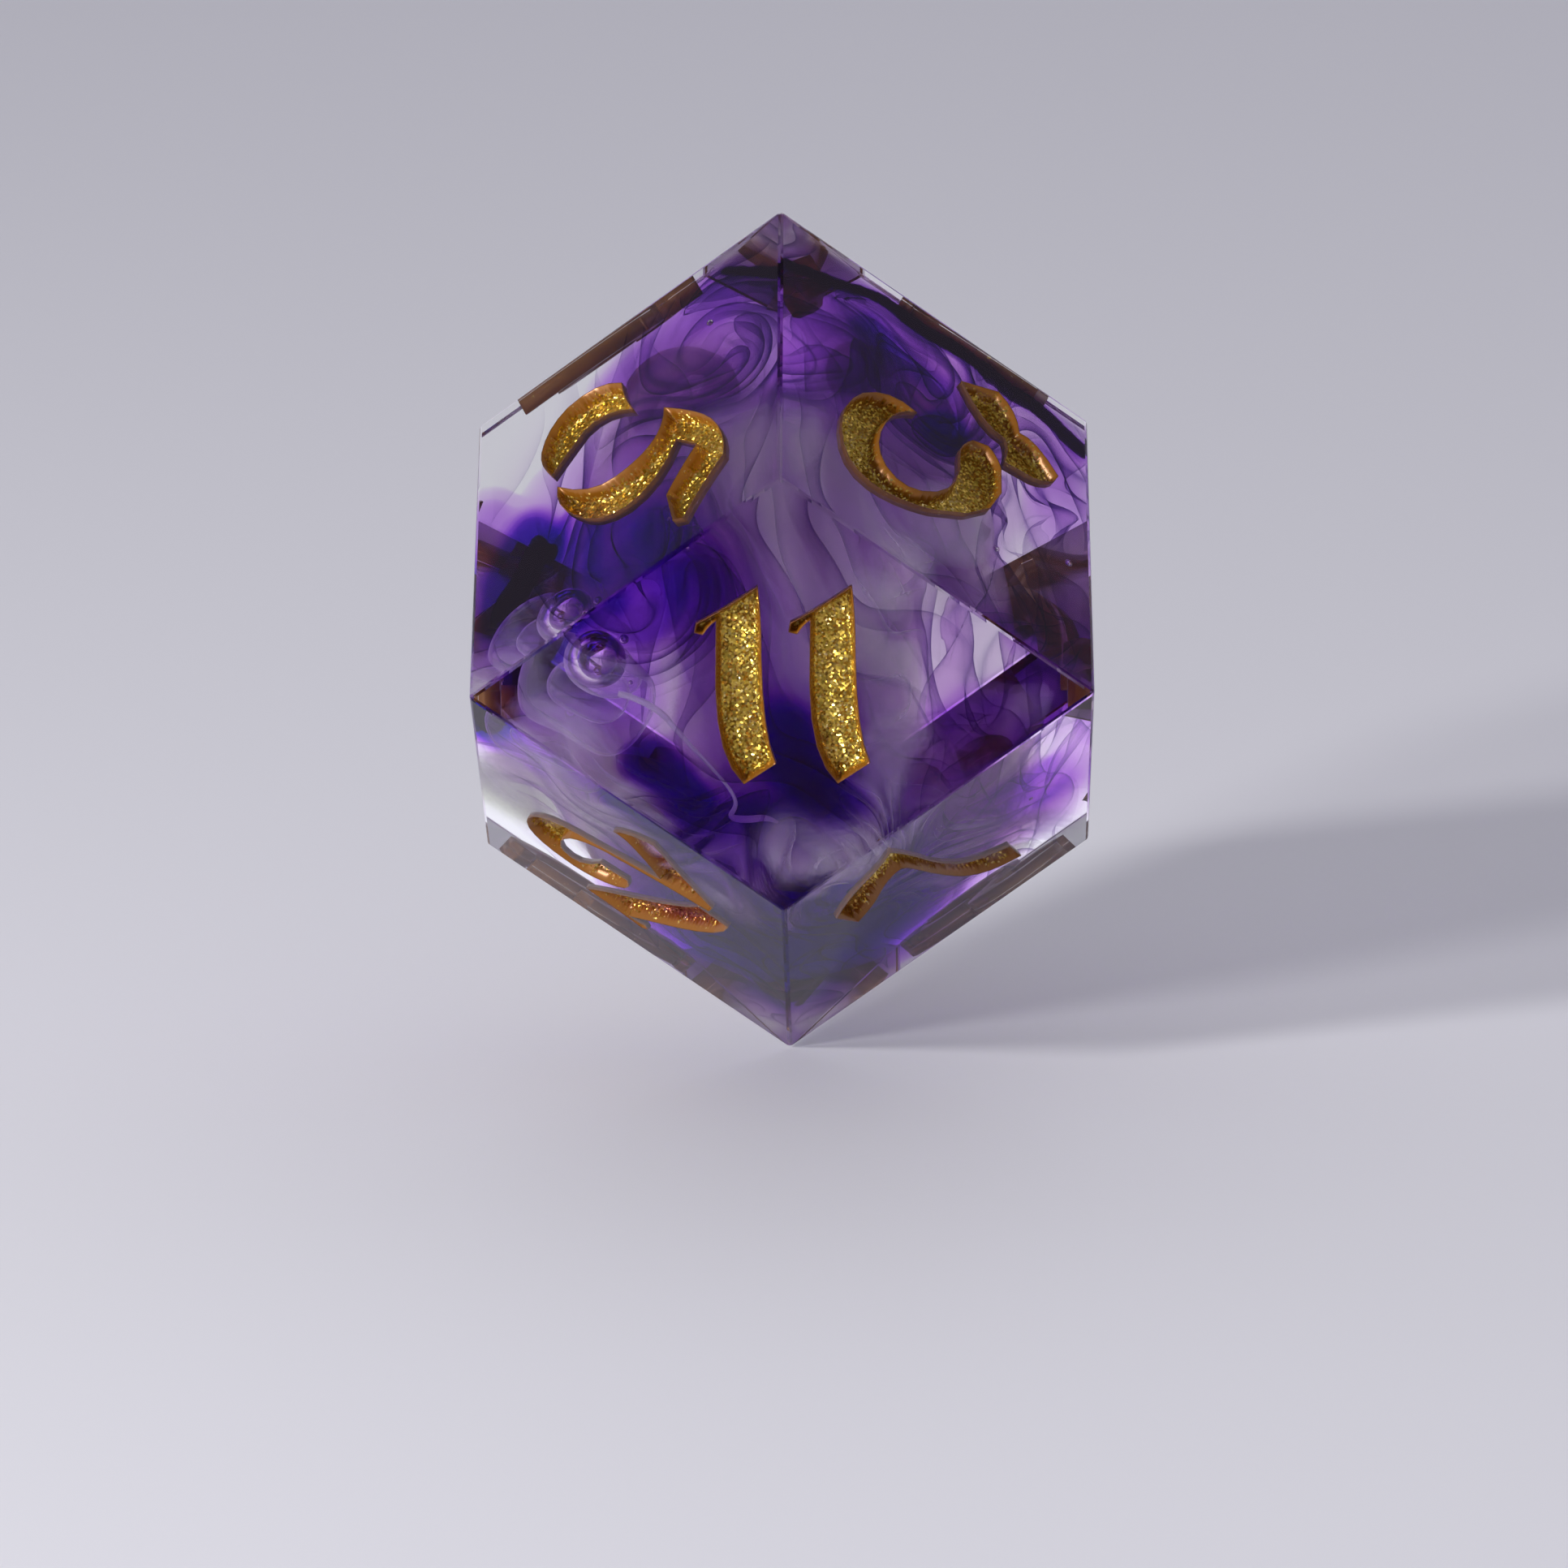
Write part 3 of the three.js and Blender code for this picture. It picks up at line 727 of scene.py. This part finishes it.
VEILS = (              # name, colour, what is measured, spacing of the sheets, first sheet, region
    ("veil_top_left", "violet", along(FOLDED, (1, 0.3, 0.2)), 1.7, 0.3,
     lambda p: trail(p, [(-0.6, 2, 10), (-2.0, 1.5, 7.6), (-2.2, 0, 5.4)], 2.2, 0.9, (1, 1.6, 1))),
    ("veil_top_edge", "violet", along(BENT, (1, 0.2, 1)), 1.8, 0.0,
     lambda p: trail(p, DARK_EDGE, 1.7, 0.8, (1, 2, 1))),
    ("veil_top_right", "violet", along(FOLDED, (0.6, 0.2, 1)), 1.7, 0.5,
     lambda p: blob(p, (3.4, 0.5, 7.4), (4.0, 3.4, 2.8), 0.8)),
    ("veil_right", "violet", along(FINE, (1, 0.4, 0.2)), 1.6, 0.2,
     lambda p: blob(p, (7.2, 0.2, 4.2), (2.2, 3.2, 3.0), 0.8)),
    ("veil_ribs", "violet", along(FINE, (1, 0.1, 0)), 1.4, 0.6,
     lambda p: 0.65 * trail(p, [(4.4, -1, 4.5), (5.8, -3.0, 0.5), (7.2, -1, -2)], 2.4, 0.8)),
    ("veil_left_blob", "violet", along(BENT, (0.3, 0.2, 1)), 1.3, 0.4,
     lambda p: blob(p, (-4.6, -5.6, 2.8), (3.8, 2.4, 2.4), 0.6)),
    ("veil_front", "violet", along(FOLDED, (1, 0.5, 0.4)), 2.4, 0.1,
     lambda p: 0.6 * trail(p, [(0.4, -6, 4), (0.2, -6, -4)], 4.4, 0.8)),
    ("veil_low_left", "violet", along(FINE, (0.6, 0, 1)), 1.6, 0.7,
     lambda p: trail(p, [(-7.4, -4.6, -1.6), (-4.8, -5.4, -4.0), (-1.8, -5.4, -6.4)], 1.7, 0.8)),
    ("veil_low_right", "violet", along(FINE, (1, -0.3, 0.6)), 1.5, 0.3,
     lambda p: blob(p, (5.2, -2.0, -4.8), (3.4, 3.4, 3.0), 0.8)),
    ("veil_back", "violet", along(FOLDED, (1, 0.2, 0.3)), 1.9, 0.2,
     lambda p: blob(p, (0.2, 7.0, -0.8), (5.4, 2.4, 5.4), 0.8)),
    ("veil_bottom", "violet", along(FINE, (1, 0.3, 0.4)), 1.6, 0.5,
     lambda p: blob(p, (0, -2.0, -9.4), (4.4, 3.6, 3.2), 0.8)),
    ("veil_ball", "violet", around((4.8, -1.9, 6.4), (1, 1, 1)), 0.9, 0.0,
     lambda p: blob(p, (4.8, -1.9, 6.4), (1.3, 1.3, 1.3), 0.1)),
    ("film_dome", "milky", around((-6.5, -5.5, -0.3), (2.2, 1.9, 2.2)), 0.4, 0.3,
     lambda p: blob(p, (-6.5, -5.5, -0.3), (2.5, 2.2, 2.5), 0.1)),
    ("film_bubble", "milky", around(BUBBLES[0][0], (1.15, 1.15, 1.15)), 0.6, 0.72,
     lambda p: 0.8 * blob(p, BUBBLES[0][0], (1.6, 1.6, 1.6), 0.2)),
    ("film_low_left", "milky", along(BENT, (0.7, 0.3, 1)), 0.5, 0.2,
     lambda p: trail(p, [(-8.6, -3.2, -3.0), (-5.0, -5.8, -4.2), (-1.8, -6.0, -6.6)], 1.5, 0.8)),
    ("film_curl", "milky", along(BENT, (0.3, 0.1, 1)), 0.55, 0.3,
     lambda p: blob(p, (1.3, -8.5, -5.2), (2.0, 1.1, 1.1), 0.7)),
    ("film_plume", "milky", along(FINE, (1, 0.3, 0)), 1.1, 0.1,
     lambda p: 0.7 * trail(p, [(2.9, -7, 2.4), (3.6, -7, -1.5), (2.2, -7, -4.6)], 1.2, 0.8)),
    ("film_low_right", "milky", along(FINE, (1, -0.3, 0.6)), 1.5, 0.8,
     lambda p: 0.8 * blob(p, (4.8, -2.4, -5.4), (3.0, 2.6, 2.4), 0.8)),
)


FAINTEST = 0.06                # a sheet ends where its region is weaker than this
STRONGEST = 0.86               # and is at full strength from here on
VEIL_FADE = 0.4                # how far below the skin a sheet reaches its strength


def joined_sheets(ruler, depth, corner, places):
    """The surfaces where the ruler is at each of the places, as one list of points and triangles."""
    points, faces, count = [], [], 0
    for place in places:
        volume = openvdb.FloatGrid(background=1.0)
        volume.copyFromArray(np.where(depth > -0.2, ruler - np.float32(place), np.float32(1)))
        sheet, triangles, quads = volume.convertToPolygons(0.0, 0.0)
        halves = np.concatenate([quads[:, [0, 1, 2]], quads[:, [0, 2, 3]], triangles])
        points.append(sheet)
        faces.append(halves.astype(int) + count)
        count += len(sheet)
    points = (np.concatenate(points) * GRID_STEP - corner).astype(np.float32)
    return points, np.concatenate(faces)


def veil_strength(points, region):
    """How strong a sheet is at its points: none near a face or in the large bubble."""
    normals = np.array([tuple(matrix.col[2].to_3d()) for matrix in FACES])
    below = (HALF_WIDTH / MM - points @ normals.T).min(1)
    strength = region(carried(points, DRIFT, DRIFT_STEPS)) * np.clip((below - SKIN) / VEIL_FADE, 0, 1)
    centre, radius = BUBBLES[0]
    strength *= np.linalg.norm(points - np.array(centre), axis=1) > radius + 0.05
    return strength


def set_strength(data, values):
    layer = data.attributes.new("strength", "FLOAT", "POINT")
    layer.data.foreach_set("value", values.astype(np.float32))


def veil_surface(veil, flowing, inside, depth, corner):
    """The sheets at the first place and every spacing from there, kept where the region is."""
    name, _, measure, spacing, first, region = veil
    ruler = np.zeros(depth.shape, np.float32)
    ruler[inside] = measure(flowing) / spacing
    wanted = np.zeros(depth.shape, bool)
    wanted[inside] = region(flowing[HERE]) > FAINTEST
    low, high = ruler[wanted].min(), ruler[wanted].max()
    steps = range(math.ceil(low - first), math.floor(high - first) + 1)
    points, faces = joined_sheets(ruler, depth, corner, [step + first for step in steps])
    strength = veil_strength(points, region)
    faces = faces[(strength[faces] > FAINTEST).all(1)]
    used, faces = np.unique(faces, return_inverse=True)
    data = bpy.data.meshes.new(name)
    data.from_pydata((points[used] * MM).tolist(), [], faces.reshape(-1, 3).tolist())
    shade_smooth(data)
    share = (strength[used] - FAINTEST) / (STRONGEST - FAINTEST)
    set_strength(data, np.clip(share, 0, 1))
    return add_object(name, data)


THREAD = [             # a thread of milk that trails down the front: x, y, z and its radius
    (-5.3, -7.0, -0.3, 0.10), (-4.2, -7.0, -0.6, 0.12), (-3.2, -7.0, -1.8, 0.08),
    (-2.3, -7.0, -2.8, 0.05), (-1.7, -7.1, -3.5, 0.05), (-1.5, -7.1, -4.0, 0.07),
    (-1.8, -7.2, -4.4, 0.10), (-1.2, -7.1, -4.5, 0.12), (-0.5, -7.1, -4.4, 0.10),
    (-0.2, -7.1, -4.6, 0.04),
]


def milk_thread():
    """The thread as a mesh, its strength the same all along."""
    curve = bpy.data.curves.new("milk_thread", "CURVE")
    curve.dimensions = "3D"
    curve.bevel_depth = MM
    curve.bevel_resolution = 3
    line = curve.splines.new("NURBS")
    line.points.add(len(THREAD) - 1)
    for point, (x, y, z, width) in zip(line.points, THREAD):
        point.co = (x * MM, y * MM, z * MM, 1)
        point.radius = width
    line.order_u = 3
    line.use_endpoint_u = True
    carrier = bpy.data.objects.new("milk_thread_curve", curve)
    bpy.context.scene.collection.objects.link(carrier)
    bpy.context.view_layer.update()
    data = bpy.data.meshes.new_from_object(carrier.evaluated_get(bpy.context.evaluated_depsgraph_get()))
    bpy.data.objects.remove(carrier)
    set_strength(data, np.ones(len(data.vertices)))
    return add_object("milk_thread", data)


VEIL_FACE_ON = (0.90, 0.74, 0.955, 1)      # what a veil lets through, face on
VEIL_EDGE_ON = (0.10, 0.008, 0.32, 1)      # and edge on
FILM_COLOUR = (0.84, 0.76, 0.94, 1)
FILM_FACE_ON = 0.05                        # how much of a milky film is seen, face on
THREAD_FACE_ON = 0.5                       # the same for the thread
FILM_EDGE_ON = 0.9                         # how much of either is seen, edge on
EDGE_SHARPNESS = 2.2                       # how narrow the part is that counts as edge on
FILM_LIT_SHARE = 0.4                       # share of a film's light that it sends back


def sheet_parts(name):
    """A new material, how strong its sheet is at each spot, and how much it is seen edge on."""
    material, tree = new_material(name)
    strength = add_node(tree, "ShaderNodeAttribute").outputs["Fac"]
    strength.node.attribute_name = "strength"
    facing = add_node(tree, "ShaderNodeLayerWeight", Blend=0.5).outputs["Facing"]
    return material, tree, strength, maths(tree, "POWER", facing, EDGE_SHARPNESS)


def veil_material():
    """Clear ink that tints what is behind it, most of all where it is seen edge on."""
    material, tree, strength, edge = sheet_parts("violet_veil")
    tint = mixed(tree, "RGBA", edge, VEIL_FACE_ON, VEIL_EDGE_ON)
    shader = tree.nodes.new("ShaderNodeBsdfTransparent")
    link(tree, mixed(tree, "RGBA", strength, (1, 1, 1, 1), tint), shader.inputs["Color"])
    show(tree, shader)
    return material


def film_material(name, face_on):
    """Milk that glows in the light from behind and is lit a little from the front."""
    material, tree, strength, edge = sheet_parts(name)
    clear = tree.nodes.new("ShaderNodeBsdfTransparent")
    cloudy = add_node(tree, "ShaderNodeBsdfTranslucent", Color=FILM_COLOUR)
    lit = add_node(tree, "ShaderNodeBsdfDiffuse", Color=FILM_COLOUR)
    milk = add_node(tree, "ShaderNodeMixShader", Fac=FILM_LIT_SHARE)
    link(tree, cloudy.outputs[0], milk.inputs[1])
    link(tree, lit.outputs[0], milk.inputs[2])
    film = tree.nodes.new("ShaderNodeMixShader")
    amount = maths(tree, "MULTIPLY", strength, mixed(tree, "FLOAT", edge, face_on, FILM_EDGE_ON))
    link(tree, amount, film.inputs[0])
    link(tree, clear.outputs[0], film.inputs[1])
    link(tree, milk.outputs[0], film.inputs[2])
    show(tree, film)
    return material


def volume_material(name, kind, colour, density):
    """A material with nothing on its surface and one kind of volume inside."""
    material, tree = new_material(name)
    show(tree, tree.nodes.new("ShaderNodeBsdfTransparent"))
    volume = tree.nodes.new(kind)
    volume.inputs["Color"].default_value = (*colour, 1)
    volume.inputs["Density"].default_value = density
    show(tree, volume, "Volume")
    return material


DYE_SHELLS = (         # level of the field, colour that the ink lets through, density per metre
    (0.25, (0.60, 0.02, 0.93), 150),
    (0.65, (0.58, 0.02, 0.92), 170),
    (1.1, (0.54, 0.02, 0.89), 220),
    (1.8, (0.46, 0.02, 0.87), 330),
    (3.0, (0.42, 0.02, 0.84), 500),
    (5.0, (0.36, 0.02, 0.80), 900),
    (9.0, (0.30, 0.02, 0.40), 12000),
)
MILK_COLOUR = (0.78, 0.70, 0.97)
MILK_SHELLS = ((0.3, 200), (0.6, 300), (1.0, 500))     # level of the field, density per metre


def cast_in(piece, material):
    """Makes the piece part of the casting."""
    piece.data.materials.append(material)
    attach(piece, "root")


def add_ink():
    """Everything that was poured into the resin: the thread, the veils, the dye and the milk."""
    dye, milk, depth, corner, inside, flowing = ink_fields()
    sheets = {
        "violet": veil_material(),
        "milky": film_material("milky_film", FILM_FACE_ON),
        "thread": film_material("milk_thread", THREAD_FACE_ON),
    }
    pieces = [(milk_thread(), "thread")]
    pieces += [(veil_surface(veil, flowing, inside, depth, corner), veil[1]) for veil in VEILS]
    for piece, colour in pieces:
        cast_in(piece, sheets[colour])
    for index, (level, colour, density) in enumerate(DYE_SHELLS):
        skin = SKIN + SKIN_STEP * index
        piece = iso_surface(f"violet_ink_{index + 1}", dye, depth, corner, level, skin)
        cast_in(piece, volume_material(piece.name, "ShaderNodeVolumeAbsorption", colour, density))
    for index, (level, density) in enumerate(MILK_SHELLS):
        skin = SKIN + SKIN_STEP * (index + 0.5)
        piece = iso_surface(f"milk_{index + 1}", milk, depth, corner, level, skin)
        cast_in(piece, volume_material(piece.name, "ShaderNodeVolumeScatter", MILK_COLOUR, density))


# ---- floor and light ----

FLOOR_RADIUS = 3
FLOOR_COLOUR = (0.80, 0.79, 0.825, 1)


def add_floor():
    place = (0, 0, FLOOR_Z)
    bpy.ops.mesh.primitive_circle_add(vertices=96, radius=FLOOR_RADIUS, fill_type="NGON", location=place)
    floor = bpy.context.object
    floor.name = "floor"
    material, tree = new_material("floor_paper")
    shader = add_node(tree, "ShaderNodeBsdfPrincipled", Roughness=0.7)
    shader.inputs["Base Color"].default_value = FLOOR_COLOUR
    show(tree, shader)
    floor.data.materials.append(material)


BACKDROP = (0.53, 0.522, 0.56)       # what the camera sees past the edge of the floor
BRIGHT_SIDE = (0.95, 0.94, 1.06)     # behind the die
DIM_SIDE = (0.26, 0.26, 0.29)        # in front of it, behind the camera
LEAN = 0.9                           # how much dimmer the light is the higher it comes from
LIGHT_EDGE = (0.3, 0.62)             # where the dim side ends and where the bright side starts


def add_world():
    """Soft light from behind and from both sides, dim from the front and from overhead."""
    world = bpy.data.worlds.new("studio")
    bpy.context.scene.world = world
    world.use_nodes = True
    tree = world.node_tree
    heading = tree.nodes.new("ShaderNodeSeparateXYZ")
    link(tree, tree.nodes.new("ShaderNodeTexCoord").outputs["Generated"], heading.inputs[0])
    raised = maths(tree, "MULTIPLY", heading.outputs["Z"], LEAN)
    lean = maths(tree, "SUBTRACT", heading.outputs["Y"], raised)
    position = maths(tree, "ADD", maths(tree, "MULTIPLY", lean, 0.5), 0.5)
    lit = colour_ramp(tree, position, zip(LIGHT_EDGE, ((*DIM_SIDE, 1), (*BRIGHT_SIDE, 1))))
    seen = tree.nodes.new("ShaderNodeLightPath").outputs["Is Camera Ray"]
    background = tree.nodes["Background"]
    link(tree, mixed(tree, "RGBA", seen, lit, (*BACKDROP, 1)), background.inputs["Color"])
    background.inputs["Strength"].default_value = 1.0


LAMPS = (              # side angle from the front, height angle, distance, width, power in watts
    (-50, 24, 0.40, 0.05, 0.8),
    (-41, 13, 0.40, 0.05, 0.8),
)


def add_lamps():
    for index, (side, height, distance, width, power) in enumerate(LAMPS):
        side, height = math.radians(side), math.radians(height)
        data = bpy.data.lights.new(f"lamp_{index + 1}", "AREA")
        data.shape = "DISK"
        data.size = width
        data.energy = power
        lamp = bpy.data.objects.new(data.name, data)
        flat = distance * math.cos(height)
        lamp.location = (flat * math.sin(side), -flat * math.cos(side), distance * math.sin(height))
        lamp.rotation_mode = "QUATERNION"
        lamp.rotation_quaternion = (-lamp.location).to_track_quat("-Z", "Y")
        bpy.context.scene.collection.objects.link(lamp)


def set_render():
    scene = bpy.context.scene
    scene.view_settings.view_transform = "Standard"
    cycles = scene.cycles
    cycles.use_denoising = True
    cycles.max_bounces = 24
    cycles.transmission_bounces = 24
    cycles.transparent_max_bounces = 128
    cycles.glossy_bounces = 8
    cycles.diffuse_bounces = 3
    cycles.caustics_refractive = True
    cycles.caustics_reflective = True
    cycles.volume_bounces = 4


# ---- the die ----

def add_paint():
    """The paint of every inlay, and a mesh that holds all their grooves."""
    grooves = bmesh.new()
    gold = gold_material()
    for node_name, node in sorted(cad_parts.items()):
        if node_name == "resin_body":
            continue
        matrix, outline = inlay_outline(node)
        groove_cutter(matrix, outline, grooves)
        inlay = paint_inlay(node_name.replace("gold", "paint"), matrix, outline)
        inlay.data.materials.append(gold)
        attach(inlay, "root")
        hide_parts(node_name)
    return grooves


def add_resin():
    """The casting, with a groove cut for each inlay and its bubbles; the inlays are made on the way."""
    body = rhombic_body("resin")
    cut(body, add_paint())
    add_bubbles(body)
    body.data.materials.clear()
    body.data.materials.append(resin_material())
    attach(body, "root")
    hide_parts("resin_body")


add_camera()
add_floor()
add_world()
add_lamps()
set_render()
add_resin()
add_ink()
